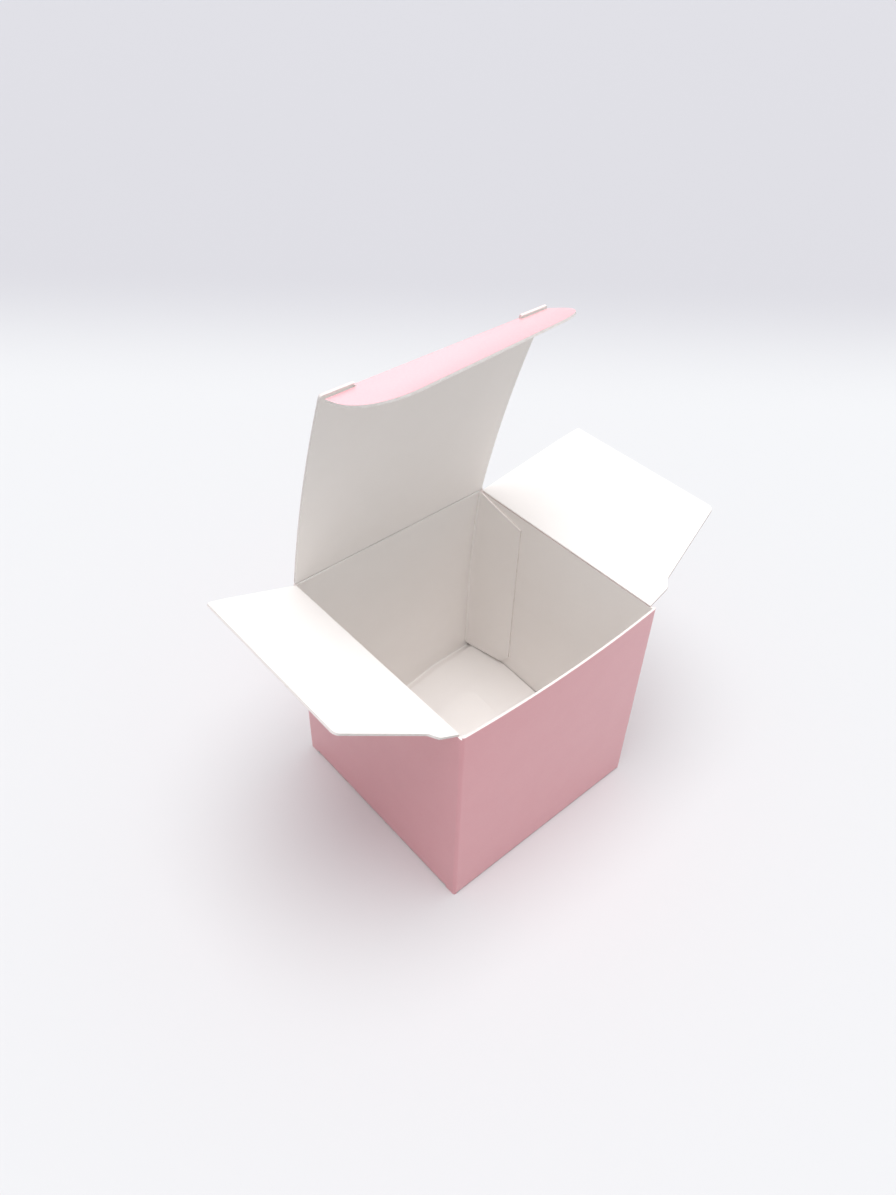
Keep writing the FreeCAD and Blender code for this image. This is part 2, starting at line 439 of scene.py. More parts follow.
@dataclass
class CartonBody:
    """Four walls, the glue flap and the interlocked bottom, folded from one blank."""

    board: Board
    inside_bend: float = 0.25 * MM
    seam_back: float = 0.15 * MM
    glue_width: float = 12.8 * MM
    glue_top_slope: float = 2.9 * MM
    glue_foot: tuple[float, float, float] = (3.4 * MM, 4.3 * MM, 7.0 * MM)
    glue_cut: float = 2.2 * MM
    lean: float = 1.9 * MM
    lean_fade: float = 8.0 * MM
    lean_levels: tuple[float, ...] = (0.5 * MM, 3 * MM, 27 * MM, 36 * MM, 44.7 * MM, 49.6 * MM)
    lean_shares: tuple[float, ...] = (0, 1, 1, 0.7, 0.3, 0)
    bend: float = 0.3 * MM
    layer_gap: float = 0.05 * MM
    panel_side: float = 24.2 * MM
    tongue_side: float = 12.3 * MM
    tongue_corner: float = 4.0 * MM
    tongue_tip: float = 12.2 * MM
    ramp: tuple[float, float] = (-2.0 * MM, 2.0 * MM)
    front_taper: float = 4.5 * MM
    slot_side: float = 12.7 * MM
    rear_side: float = 23.75 * MM
    rear_taper: float = 0.3 * MM
    rear_flare: float = 0.72 * MM
    flare_run: float = 3.0 * MM
    rear_rise: tuple[float, float] = (0.1 * MM, 2.4 * MM)
    side_rise: float = 0.55 * MM
    ramp_trim: float = 0.2 * MM
    lift: float = 1.9 * MM
    lift_side: tuple[float, float] = (1.0 * MM, 14.0 * MM)
    lift_front: tuple[float, float] = (-9.0 * MM, -1.0 * MM)
    lift_growth: tuple[float, float] = (0.0, 14.0 * MM)
    lift_share: float = 0.7
    lift_rear: float = 24.47 * MM
    lift_drop: float = 0.35 * MM
    foot_rise: tuple[float, float] = (0.5 * MM, 6.0 * MM)
    tongue_lift: float = 0.6 * MM
    rear_front: float = -13.45 * MM
    rear_corner: float = 2.0 * MM
    side_root: float = 21.55 * MM
    side_taper: float = 8.0 * MM
    side_tip: float = 14.5 * MM
    side_corner: float = 1.5 * MM
    bead_height: float = 0.40 * MM
    bead_width: float = 0.4 * MM
    rim_bead: float = 0.28 * MM
    rim_bead_drop: float = 0.33 * MM
    rim_bead_ends: tuple[float, float] = (0.2 * MM, 0.8 * MM)
    rim_step: float = 0.11 * MM
    sway: float = 0.22 * MM
    front_sway: float = 0.4
    wave_across: float = 2.3
    wave_up: float = 2.7
    wave_share: float = 0.4
    step: float = 1.3 * MM
    panel_rows: int = 44
    bend_rows: int = 7

    def __post_init__(self) -> None:
        """Works out the fold radius, the start of the bottom bends and the four walls."""
        size = self.board
        self.fold = self.inside_bend + size.half
        self.turn = self.fold * math.pi / 2
        self.foot = self.bend + size.half
        self.layer = size.card + self.layer_gap
        self.straight = size.middle_x - self.fold
        nested = size.half_width - 1.5 * size.card
        self.nested = nested - self.fold
        length = 2 * self.straight + self.turn
        rear_centre = self.glue_width + self.turn + self.nested
        self.rear = Wall((-1, 0), (0, -1), size.middle_y, rear_centre)
        left_centre = rear_centre + length
        self.left = Wall((0, -1), (1, 0), size.middle_x, left_centre)
        self.front = Wall((1, 0), (0, 1), size.middle_y, left_centre + length)
        self.right = Wall((0, 1), (-1, 0), size.middle_x, left_centre + 2 * length)
        self.glue_x = nested

    def columns(self, sides: list[float], start: float, end: float) -> Array:
        """Places along one wall, closer together at its ends.

        Args:
            sides: distances from the middle that must be met on both sides.
            start: first place.
            end: last place.

        Returns:
            Rising places from start to end.
        """
        near = [0.25 * MM, 0.6 * MM, 1.1 * MM]
        stops = {start, end, *sides} | {-side for side in sides}
        stops |= {start + value for value in near} | {end - value for value in near}
        kept = sorted(stop for stop in stops if start <= stop <= end)
        merged = [kept[0]]
        for stop in kept[1:]:
            if stop - merged[-1] > 0.03 * MM:
                merged.append(stop)
        merged[-1] = end
        return through(merged, self.step)

    def wall_rows(self) -> Array:
        """Heights of the wall rows, closer together below the rim."""
        size = self.board
        below = through([self.foot, self.foot + 0.8 * MM, size.side_top - 1.2 * MM,
                         size.side_top - 0.4 * MM], self.step)
        rim = through([size.side_top - 0.4 * MM, size.side_top, size.height], self.rim_step)
        return np.concatenate([below, rim[1:]])

    def sway_at(self, across: Array, level: Array, phase: float) -> Array:
        """Slight unevenness of a wall.

        Formula: a hump that is nil at the folds, plus a small slow wave across it.

        Args:
            across: share of the wall's half width, from -1 to 1.
            level: share of its height, from 0 to 1.
            phase: start of the wave.

        Returns:
            Distance into the carton, in metres.
        """
        hump = (1 - across**2) * np.sin(math.pi * level)
        wave = np.sin(self.wave_across * across + phase) * np.sin(self.wave_up * level + 2 * phase)
        return self.sway * hump * (1 - self.wave_share + self.wave_share * wave)

    def fold_column(self, wall: Wall, level: Array) -> tuple[Array, Array]:
        """Round upright fold between two walls.

        Formula: a quarter circle about a line inside both walls.

        Args:
            wall: the wall before the fold.
            level: heights of the rows.

        Returns:
            Points of the fold's own columns, and their places on the blank.
        """
        angle = np.linspace(0, math.pi / 2, 9)[1:-1]
        across = self.straight + self.fold * np.sin(angle)
        depth = self.fold * (1 - np.cos(angle))
        points = wall.place(across[None, :], depth[None, :], level[:, None])
        places = wall.centre + self.straight + self.fold * angle
        return points, places

    def bottom_profile(self, reach: Array, rise: float, start: float, end: float) -> tuple[Array, Array]:
        """Height of a bottom panel's middle along its length.

        Formula: level at first, then a smooth step up between two places.

        Args:
            reach: distance past the bend.
            rise: how far it steps up.
            start: where the step starts.
            end: where it ends.

        Returns:
            Height of the card's middle and the slope there.
        """
        share = np.clip((reach - start) / (end - start), 0, 1)
        level = self.board.half + rise * smooth(share)
        slope = rise * 6 * share * (1 - share) / (end - start)
        return level, slope

    def panel(self, wall: Wall, across: Array, root: float, reach: Array, spread: Array,
              rise: float, start: float, end: float) -> tuple[Array, Array, Array]:
        """One bottom panel from its tip back to the wall, and the wall's foot beside it.

        Formula: a quarter circle below the wall, then the panel's own profile. Beyond the
        panel's root the wall runs straight down to the table.

        Args:
            wall: the wall that carries it.
            across: the wall's columns.
            root: half the panel's width where it leaves the wall.
            reach: distance of each panel row past the bend.
            spread: place of each column on each row.
            rise: how far the panel steps up.
            start: where the step starts.
            end: where it ends.

        Returns:
            Points, outward directions and blank places, tip first.
        """
        angle = np.linspace(0, math.pi / 2, self.bend_rows + 1)[1:]
        beside = np.abs(across) > root + NEAR
        bend_depth = self.bend * (1 - np.cos(angle))[:, None]
        bend_level = (self.foot - self.bend * np.sin(angle))[:, None]
        foot_level = (self.foot * (1 - angle / (math.pi / 2)))[:, None]
        depth = np.where(beside[None, :], 0, bend_depth)
        level = np.where(beside[None, :], foot_level, bend_level)
        bend_points = wall.place(across[None, :], depth, level)
        lean = np.where(beside[None, :], 0, angle[:, None])
        inward = np.array([wall.inward[0], wall.inward[1], 0])
        down = np.array([0, 0, -1])
        bend_out = -np.cos(lean)[..., None] * inward + np.sin(lean)[..., None] * down
        panel_level, slope = self.bottom_profile(reach, rise, start, end)
        points = wall.place(spread, (self.bend + reach)[:, None], panel_level[:, None])
        tilt = np.arctan(slope)[:, None, None]
        out = np.cos(tilt) * down + np.sin(tilt) * inward
        out = np.broadcast_to(out, points.shape)
        bend_length = self.bend * angle
        bend_flat = stacked(wall.centre + across[None, :], self.foot - bend_length[:, None])
        tip_flat = stacked(wall.centre + spread, self.foot - bend_length[-1] - reach[:, None])
        every = [np.concatenate([a, b])[::-1] for a, b in
                 ((bend_points, points), (bend_out, out), (bend_flat, tip_flat))]
        return every[0], every[1], every[2]

    def reach_rows(self, stops: list[float], counts: list[int], corner: float) -> Array:
        """Distances of a bottom panel's rows past its bend.

        Args:
            stops: rising places that must be met, the last one at the tip.
            counts: how many rows each run before the round corner gets.
            corner: radius of the round corner at the tip.

        Returns:
            All distances in rising order.
        """
        *starts, tip = stops
        ends = [*starts[1:], tip - corner]
        runs = [np.linspace(start, end, count + 1)[1:]
                for start, end, count in zip(starts, ends, counts)]
        return np.concatenate([*runs, round_end(tip, corner, self.panel_rows - sum(counts))])

    def front_panel(self, across: Array) -> tuple[Array, Array, Array, Array]:
        """Front bottom panel, with the ramp and the tongue that locks it.

        Args:
            across: the front wall's columns.

        Returns:
            Points, outward directions, blank places and kept squares, tip first.
        """
        root = -self.board.middle_y + self.bend
        ramp_start, ramp_end = (place - root for place in self.ramp)
        tip = self.tongue_tip - root
        reach = self.reach_rows([0, ramp_start, ramp_end, tip], [16, 12, 6], self.tongue_corner)
        side = self.panel_side - self.front_taper * np.clip(reach / ramp_start, 0, 1)
        beyond = np.clip(np.abs(across) - self.tongue_side, 0, None)
        share = (side - self.tongue_side) / (self.panel_side - self.tongue_side)
        held = np.minimum(np.abs(across), self.tongue_side)
        narrow = 1 - corner_loss(tip - reach, self.tongue_corner) / self.tongue_side
        spread = np.sign(across) * (held[None, :] * narrow[:, None] + beyond[None, :] * share[:, None])
        points, out, flat = self.panel(self.front, across, self.panel_side, reach, spread,
                                       3 * self.layer, ramp_start, ramp_end - self.ramp_trim)
        ramp = between(points[..., 1], self.ramp)
        curl = between(points[..., 1], (self.ramp[1], self.tongue_tip))
        points[..., 2] += self.lifted(points) * ramp + self.tongue_lift * curl
        middle = np.abs(halfway(across))
        reach_middle = halfway(np.concatenate([[0], reach]))
        is_panel = (middle < self.panel_side)[None, :] & (reach_middle < ramp_start)[:, None]
        is_tongue = (middle < self.tongue_side)[None, :] & (reach_middle > ramp_start)[:, None]
        return points, out, flat, (is_panel | is_tongue)[::-1]

    def lifted(self, points: Array) -> Array:
        """How far the bottom panels bulge up towards the rear right corner.

        Formula: smooth steps across the panel and along it, down again at the rear wall.

        Args:
            points: places on the panel.

        Returns:
            Extra height at each place.
        """
        x, y = points[..., 0], points[..., 1]
        grown = self.lift_share + (1 - self.lift_share) * between(y, self.lift_growth)
        along = (1 - self.at_rear(y)) * between(y, self.lift_front) * grown
        return self.lift * between(x, self.lift_side) * along

    def at_rear(self, y: Array) -> Array:
        """How near a place along Y is to the rear wall, from 0 to 1 at the wall."""
        return 1 - smooth((self.lift_rear - y) / self.lift_drop)

    def rear_panel(self, across: Array) -> tuple[Array, Array, Array, Array]:
        """Rear bottom panel, whose two legs reach forward beside the tongue.

        Args:
            across: the rear wall's columns.

        Returns:
            Points, outward directions, blank places and kept squares, tip first.
        """
        root = self.board.middle_y - self.bend
        slot_floor = root - self.ramp[1]
        tip = root - self.rear_front
        reach = self.reach_rows([0, self.rear_rise[1], slot_floor, tip], [8, 12, 16], self.rear_corner)
        loss = corner_loss(tip - reach, self.rear_corner)
        outer = self.rear_side - self.rear_taper * reach / tip - loss
        outer = outer + self.rear_flare * smooth(reach / self.flare_run)
        inner = self.slot_side + loss
        share = (outer - inner) / (self.rear_side - self.slot_side)
        beyond = np.clip(np.abs(across) - self.slot_side, 0, None)
        held = np.where(np.abs(across) < self.slot_side - NEAR, 0, 1)
        leg = inner[:, None] * held + beyond[None, :] * share[:, None]
        spread = np.where(held[None, :] == 1, np.sign(across)[None, :] * leg, across[None, :])
        points, out, flat = self.panel(self.rear, across, self.rear_side, reach, spread,
                                       2 * self.layer, *self.rear_rise)
        points[..., 2] += self.lifted(points)
        middle = np.abs(halfway(across))
        reach_middle = halfway(np.concatenate([[0], reach]))
        kept = (middle < self.rear_side)[None, :] & np.ones(len(reach), bool)[:, None]
        slot = (middle < self.slot_side)[None, :] & (reach_middle > slot_floor)[:, None]
        return points, out, flat, (kept & ~slot)[::-1]

    def side_panel(self, wall: Wall, across: Array) -> tuple[Array, Array, Array, Array]:
        """Side bottom flap, held between the front and the rear panel.

        Args:
            wall: the wall that carries it.
            across: that wall's columns.

        Returns:
            Points, outward directions, blank places and kept squares, tip first.
        """
        tip = self.board.middle_x - self.bend - self.side_tip
        reach = self.reach_rows([0, self.side_rise, tip], [6, 30], self.side_corner)
        half = self.side_root - self.side_taper * reach / tip
        half = half - corner_loss(tip - reach, self.side_corner)
        spread = across[None, :] * (half / self.side_root)[:, None]
        points, out, flat = self.panel(wall, across, self.side_root, reach, spread,
                                       self.layer, 0, self.side_rise)
        kept = (np.abs(halfway(across)) < self.side_root)[None, :] & np.ones(len(reach), bool)[:, None]
        return points, out, flat, kept[::-1]

    def grid(self) -> CardGrid:
        """Joins the walls and the bottom panels into one piece of card.

        Returns:
            The folded blank without its lid and dust flaps.
        """
        size = self.board
        level = self.wall_rows()
        share = (level - self.foot) / (size.height - self.foot)
        blocks = [self.glue_block(level), self.nested_fold(level)]
        walls = [(self.rear, [self.slot_side, self.rear_side], -self.nested, self.straight, 0.4),
                 (self.left, [self.side_root], -self.straight, self.straight, 1.9),
                 (self.front, [self.tongue_side, self.panel_side], -self.straight, self.straight, 3.1),
                 (self.right, [self.side_root], -self.straight,
                  size.half_depth - self.seam_back, 4.4)]
        for number, (wall, sides, start, end, phase) in enumerate(walls):
            across = self.columns(sides, start, end)
            offset = self.sway_at(np.clip(across / self.straight, -1, 1)[None, :], share[:, None], phase)
            if wall is self.front:
                arch = 1 - (across / self.straight) ** 2
                offset = offset * self.front_sway - size.bow * arch[None, :] * share[:, None]
            points = wall.place(across[None, :], offset, level[:, None])
            flat = stacked(wall.centre + across[None, :], level[:, None])
            if wall is self.front:
                low = self.front_panel(across)
            elif wall is self.rear:
                low = self.rear_panel(across)
            else:
                low = self.side_panel(wall, across)
            cells = np.ones((len(level) - 1, len(across) - 1), bool)
            cells = np.concatenate([low[3], self.foot_cells(across, sides[-1]), cells])
            blocks.append((points, flat, low[0], low[1], low[2], cells))
            if number < 3:
                blocks.append(self.fold_block(wall, level))
        return self.joined(blocks, level)

    def foot_cells(self, across: Array, root: float) -> Array:
        """Kept squares in the bend rows, open where a panel's side leaves the wall.

        Args:
            across: the wall's columns.
            root: half the panel's width there.

        Returns:
            Kept squares, bend rows by columns.
        """
        outside = np.abs(across) > root + NEAR
        step_over = outside[:-1] ^ outside[1:]
        return np.broadcast_to(~step_over, (self.bend_rows, len(across) - 1)).copy()

    def low_rows(self, points: Array, flat: Array) -> tuple[Array, Array, Array]:
        """Straight foot below some wall columns, down to the table.

        Args:
            points: the wall's lowest row.
            flat: its places on the blank.

        Returns:
            Points, outward directions and blank places of the rows below, lowest first.
        """
        count = self.panel_rows + self.bend_rows
        drop = np.concatenate([np.zeros(self.panel_rows),
                               np.linspace(0, 1, self.bend_rows, endpoint=False)])
        height = points[None, :, 2] * drop[:, None]
        low = np.broadcast_to(points[None, :, :], (count,) + points.shape).copy()
        low[..., 2] = height
        low_flat = np.broadcast_to(flat[None, :, :], (count,) + flat.shape).copy()
        low_flat[..., 1] = height
        return low, np.zeros_like(low), low_flat

    def fold_block(self, wall: Wall, level: Array) -> tuple:
        """Columns of one upright fold, with its straight foot.

        Args:
            wall: the wall before the fold.
            level: heights of the rows.

        Returns:
            The block's arrays, as the walls give them.
        """
        points, places = self.fold_column(wall, level)
        flat = stacked(places[None, :], level[:, None])
        low, out, low_flat = self.low_rows(points[0], flat[0])
        cells = np.ones((len(level) - 1 + self.bend_rows + self.panel_rows, len(places) + 1), bool)
        cells[:self.panel_rows] = False
        return points, flat, low, out, low_flat, cells

    def glue_block(self, level: Array) -> tuple:
        """Glue flap inside the right wall, cut back at its top and foot.

        Formula: each column's rows are spread between the flap's foot and its top there.

        Args:
            level: heights of the rows.

        Returns:
            The block's arrays, as the walls give them.
        """
        across = through([0, 0.3 * MM, 0.8 * MM, self.glue_cut, self.glue_width - 1.0 * MM,
                          self.glue_width - 0.4 * MM, self.glue_width], self.step)
        away = 1 - across / self.glue_width
        points, flat = self.glue_rows(level, away, across)
        points[..., 0] = self.glue_x
        points[..., 1] = (self.straight_back() - self.glue_width + across)[None, :]
        low, out, low_flat = self.low_rows(points[0], flat[0])
        low[..., 2] = points[0][None, :, 2]
        low_flat[..., 1] = low[..., 2]
        cells = np.ones((len(level) - 1 + self.bend_rows + self.panel_rows, len(across) - 1), bool)
        cells[:self.panel_rows + self.bend_rows] = False
        cells[-self.top_rows(level):] = False
        return points, flat, low, out, low_flat, cells

    def straight_back(self) -> float:
        """Place along Y where the glue flap meets its fold."""
        return self.board.middle_y - self.fold

    def top_rows(self, level: Array) -> int:
        """How many rows of squares lie above the side walls' tops."""
        return int((level > self.board.side_top + 0.01 * MM).sum())

    def glue_rows(self, level: Array, away: Array, places: Array) -> tuple[Array, Array]:
        """Heights of the glue flap's rows.

        Args:
            level: heights of the wall rows.
            away: share of the flap's width from its fold, for each column.
            places: blank place of each column.

        Returns:
            Points with only their height set, and blank places.
        """
        size = self.board
        share = (level - self.foot) / (size.side_top - self.foot)
        foot = np.interp(away, [0, 1 - self.glue_cut / self.glue_width, 1], self.glue_foot)
        top = size.side_top - self.glue_top_slope * away
        height = foot[None, :] + share[:, None] * (top - foot)[None, :]
        points = np.zeros(height.shape + (3,))
        points[..., 2] = height
        flat = stacked(places[None, :], height)
        return points, flat

    def nested_fold(self, level: Array) -> tuple:
        """Fold between the glue flap and the rear wall, tucked inside the right wall.

        Formula: a quarter circle that ends flat against the right wall's plain face.

        Args:
            level: heights of the rows.

        Returns:
            The block's arrays, as the walls give them.
        """
        angle = np.linspace(0, math.pi / 2, 9)[1:-1]
        places = self.glue_width + self.fold * angle
        x = self.glue_x - self.fold * (1 - np.cos(angle))
        y = self.straight_back() + self.fold * np.sin(angle)
        points = stacked(x[None, :], y[None, :], level[:, None])
        flat = stacked(places[None, :], level[:, None])
        low, out, low_flat = self.low_rows(points[0], flat[0])
        cells = np.ones((len(level) - 1 + self.bend_rows + self.panel_rows, len(places) + 1), bool)
        cells[:self.panel_rows] = False
        cells[:self.panel_rows + self.bend_rows, 0] = False
        cells[-self.top_rows(level):, 0] = False
        return points, flat, low, out, low_flat, cells

    def joined(self, blocks: list[tuple], level: Array) -> CardGrid:
        """Lines the blocks up, offsets the two faces and marks the creases.

        Formula: a wall of n columns has n - 1 squares of its own, and a fold of n columns
        n + 1, which are those on both sides of each of its columns.

        Args:
            blocks: arrays of each wall and fold, in the order of the blank.
            level: heights of the wall rows.

        Returns:
            The whole body as one piece of card.
        """
        size = self.board
        wall, wall_flat, low, low_out, low_flat, cells = (
            np.concatenate(arrays, axis=1) for arrays in zip(*blocks))
        run = np.gradient(wall, wall_flat[0, :, 0], axis=1)
        climb = np.gradient(wall, level, axis=0)
        wall_out = np.cross(run, climb)
        wall_out /= np.linalg.norm(wall_out, axis=2, keepdims=True)
        unset = (np.abs(low_out).sum(axis=2) == 0)[..., None]
        low_out = np.where(unset, wall_out[:1], low_out)
        middle = np.concatenate([low, wall])
        out = np.concatenate([low_out, wall_out])
        flat = np.concatenate([low_flat, wall_flat])
        cells = self.open_rims(cells, middle)
        inward = self.beads(middle, flat) + self.leaning(middle, flat)
        inward[..., 2] += self.rear_foot(middle)
        return CardGrid(flat=flat, outer=middle + out * size.half,
                        inner=middle - out * size.half + inward, cells=cells,
                        folds=self.fold_lines())

    def open_rims(self, cells: Array, middle: Array) -> Array:
        """Takes away the top row of squares over the side walls.

        Args:
            cells: kept squares.
            middle: points of the card's middle.

        Returns:
            Kept squares, with the side walls lower than the front and the rear.
        """
        size = self.board
        centre_y = (middle[-2, :-1, 1] + middle[-2, 1:, 1]) / 2
        low = np.abs(centre_y) < size.half_depth - size.card
        count = self.top_rows(self.wall_rows())
        opened = cells.copy()
        opened[-count:, low] = False
        return opened

    def crease_places(self) -> list[float]:
        """Places on the blank of the four upright folds."""
        first = self.glue_width + self.turn / 2
        return [first] + [wall.centre + self.straight + self.turn / 2
                          for wall in (self.rear, self.left, self.front)]

    def beads(self, middle: Array, flat: Array) -> Array:
        """Raised beads that the creases leave on the plain face.

        Formula: a round-topped bell across each upright fold, pushed into its corner, and
        another along the top of the rear wall.

        Args:
            middle: points of the card's middle.
            flat: places on the blank.

        Returns:
            Shift of the plain face at each place.
        """
        shift = np.zeros(middle.shape)
        corners = ((-1, -1), (1, -1), (1, 1), (-1, 1))
        for place, (x, y) in zip(self.crease_places(), corners):
            bell = np.exp(-(((flat[..., 0] - place) / self.bead_width) ** 4)) * (flat[..., 1] > 0)
            shift += (self.bead_height * bell)[..., None] * np.array([x, y, 0]) / math.sqrt(2)
        drop = (self.board.height - middle[..., 2] - self.rim_bead_drop) / self.rim_bead_drop
        to_end = self.straight - np.abs(flat[..., 0] - self.rear.centre)
        across = between(to_end, self.rim_bead_ends)
        shift[..., 1] -= self.rim_bead * np.exp(-(drop**4)) * across
        return shift

    def leaning(self, middle: Array, flat: Array) -> Array:
        """Lean of the inner corner at the glued seam.

        Formula: full at the fold from just over the bottom to mid height, fading upwards,
        along the glue flap and along the rear wall.

        Args:
            middle: points of the card's middle.
            flat: places on the blank.

        Returns:
            Shift of the plain face at each place.
        """
        fold = self.glue_width + self.turn
        run = np.interp(flat[..., 0], [0, self.glue_width, fold, fold + self.lean_fade], [0, 1, 1, 0])
        rise = np.interp(middle[..., 2], self.lean_levels, self.lean_shares)
        shift = np.zeros(middle.shape)
        shift[..., 0] = -self.lean * run * rise * (flat[..., 1] > 0.3 * MM)
        return shift

    def rear_foot(self, middle: Array) -> Array:
        """Rise of the rear wall's plain face at its foot, up to the bulging bottom panel.

        Formula: the panel's bulge at the wall, fading over the wall's lowest part.

        Args:
            middle: points of the card's middle.

        Returns:
            Extra height at each place.
        """
        x, y, z = (middle[..., axis] for axis in range(3))
        fading = np.interp(z, self.foot_rise, (1, 0))
        return self.lift * between(x, self.lift_side) * self.at_rear(y) * fading

    def fold_lines(self) -> list[Segment]:
        """Creases on the blank: upright folds, bottom folds, and the lines that carry flaps."""
        size = self.board
        folds = [((place, 0.0), (place, size.height)) for place in self.crease_places()]
        below = self.foot - self.bend * math.pi / 4
        roots = ((self.rear, self.rear_side), (self.left, self.side_root),
                 (self.front, self.panel_side), (self.right, self.side_root))
        folds += [((wall.centre - root, below), (wall.centre + root, below)) for wall, root in roots]
        for wall, top in ((self.left, size.side_top), (self.right, size.side_top),
                          (self.rear, size.height)):
            folds.append(((wall.centre - self.straight, top), (wall.centre + self.straight, top)))
        return folds


@dataclass
class Lid:
    """Lid, curled inwards along its length, with a slit ear at each end of its far crease."""

    board: Board
    curl: float = 9.1
    ear_height: float = 1.0 * MM
    ear_corner: float = 0.5 * MM
    slit_length: float = 6.5 * MM
    crease_gap: float = 0.05 * MM
    bead: float = 0.12 * MM
    bead_width: float = 0.35 * MM
    step: float = 1.4 * MM

    def __post_init__(self) -> None:
        """Works out the lid's arc from the places of its two creases."""
        self.half_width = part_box("lid_panel")[1].x
        run = self.board.lid_axis[0] - self.board.tuck_axis[0]
        climb = self.board.tuck_axis[1] - self.board.lid_axis[1]
        lean = math.atan2(climb, run)
        self.start = lean + math.radians(self.curl) / 2
        self.radius = math.hypot(run, climb) / (2 * math.sin(math.radians(self.curl) / 2))
        self.length = self.radius * math.radians(self.curl)
        self.crease_side = self.half_width - self.slit_length

    def place(self, distance: Array, offset: Array) -> tuple[Array, Array]:
        """Place in the lid's side view.

        Formula: along a circle that leaves the hinge at its steep angle and flattens, moved
        off the card's middle towards the printed face.

        Args:
            distance: distance from the hinge.
            offset: distance off the card's middle, outwards.

        Returns:
            Y and Z of each place.
        """
        now = self.start - distance / self.radius
        y = self.board.lid_axis[0] - self.radius * (math.sin(self.start) - np.sin(now))
        z = self.board.lid_axis[1] + self.radius * (np.cos(now) - math.cos(self.start))
        return y + offset * np.sin(now), z + offset * np.cos(now)

    def inside_at(self, rise: float) -> float:
        """Y of the lid's plain face at a height above its hinge.

        Args:
            rise: height above the hinge.

        Returns:
            Its place along Y.
        """
        now = math.acos(math.cos(self.start) + rise / self.radius)
        y, _ = self.place(np.array((self.start - now) * self.radius), np.array(-self.board.half))
        return float(y)

    def grid(self) -> CardGrid:
        """Builds the lid between its hinge and its far crease, with the two ears.

        Returns:
            The lid as one piece of card.
        """
        size = self.board
        crease = self.length - size.half - self.crease_gap
        tip = self.length + self.ear_height
        back, lift = hinge_rows(size.half)
        body = through([0, 0.3 * MM, 0.7 * MM, 1.2 * MM, crease - 0.6 * MM, crease], self.step)
        ears = np.concatenate([np.linspace(crease, tip - self.ear_corner, 3)[1:],
                               round_end(tip, self.ear_corner, 5)])
        rows = np.concatenate([back, body, ears])
        half = np.concatenate([lift, np.full(len(body) + len(ears), size.half)])
        side = self.half_width
        columns = through([-side, -side + 0.5 * MM, -self.crease_side - 0.3 * MM, -self.crease_side,
                           self.crease_side, self.crease_side + 0.3 * MM, side - 0.5 * MM, side],
                          self.step)
        loss = corner_loss(tip - rows, self.ear_corner)
        beyond = np.clip(np.abs(columns) - self.crease_side, 0, None) / (side - self.crease_side)
        x = np.sign(columns) * (np.abs(columns) - loss[:, None] * beyond[None, :])
        ridge = self.bead * np.exp(-(((rows - 0.1 * MM) / self.bead_width) ** 2)) * (half / size.half)
        outer_y, outer_z = self.place(rows, half)
        inner_y, inner_z = self.place(rows, -(half + ridge))
        outer = stacked(x, outer_y[:, None], outer_z[:, None])
        inner = stacked(x, inner_y[:, None], inner_z[:, None])
        flat = stacked(x, rows[:, None])
        is_ear = np.abs(halfway(columns)) > self.crease_side
        cells = (halfway(rows) < crease)[:, None] | is_ear[None, :]
        folds = [((-side, 0.0), (side, 0.0)), ((-side, -size.half), (side, -size.half)),
                 ((-self.crease_side, crease), (self.crease_side, crease))]
        return CardGrid(flat=flat, outer=outer, inner=inner, cells=cells, folds=folds)


@dataclass
class TuckFlap:
    """Tuck flap with large round corners, slightly twisted along its crease."""

    board: Board
    lid: Lid
    length: float = 13.5 * MM
    inset: float = 0.4 * MM
    corner: float = 9.5 * MM
    slit_gap: float = 0.15 * MM
    lift: float = 17.4
    twist: float = 8.6
    cup: float = 3.0
    step: float = 1.2 * MM

    def grid(self) -> CardGrid:
        """Builds the flap from its crease to its free edge.

        Formula: each column runs straight from the crease at its own angle above level,
        which grows with X for the twist, and turns a little on its way for the cup.

        Returns:
            The flap as one piece of card.
        """
        size = self.board
        side = self.lid.half_width - self.inset
        root = self.lid.crease_side - self.slit_gap
        shoulder = self.lid.ear_height + self.slit_gap
        back, stand = hinge_rows(size.half)
        body = through([0, 0.4 * MM, shoulder, self.length - self.corner], self.step)
        ends = round_end(self.length, self.corner, 18)
        rows = np.concatenate([back, body, ends])
        half = np.concatenate([stand, np.full(len(body) + len(ends), size.half)])
        columns = through([-side, -side + 0.4 * MM, -root, root, side - 0.4 * MM, side], self.step)
        loss = corner_loss(self.length - rows, self.corner)
        x = columns[None, :] * ((side - loss) / side)[:, None]
        turn = self.lift + self.twist * x / (2 * size.half_width)
        angle = np.radians(turn + self.cup * (rows / self.length)[:, None] ** 2)
        y = size.tuck_axis[0] - rows[:, None] * np.cos(angle)
        z = size.tuck_axis[1] + rows[:, None] * np.sin(angle)
        middle = np.stack([x, y, z], axis=-1)
        out = np.stack([np.zeros_like(x), np.sin(angle), np.cos(angle)], axis=-1)
        offset = half[:, None, None] * out
        flat = stacked(x, rows[:, None])
        at_crease = np.abs(halfway(columns)) < root
        cells = (halfway(rows) > shoulder)[:, None] | at_crease[None, :]
        folds = [((-root, 0.0), (root, 0.0)), ((-root, -size.half), (root, -size.half))]
        return CardGrid(flat=flat, outer=middle + offset, inner=middle - offset, cells=cells, folds=folds)


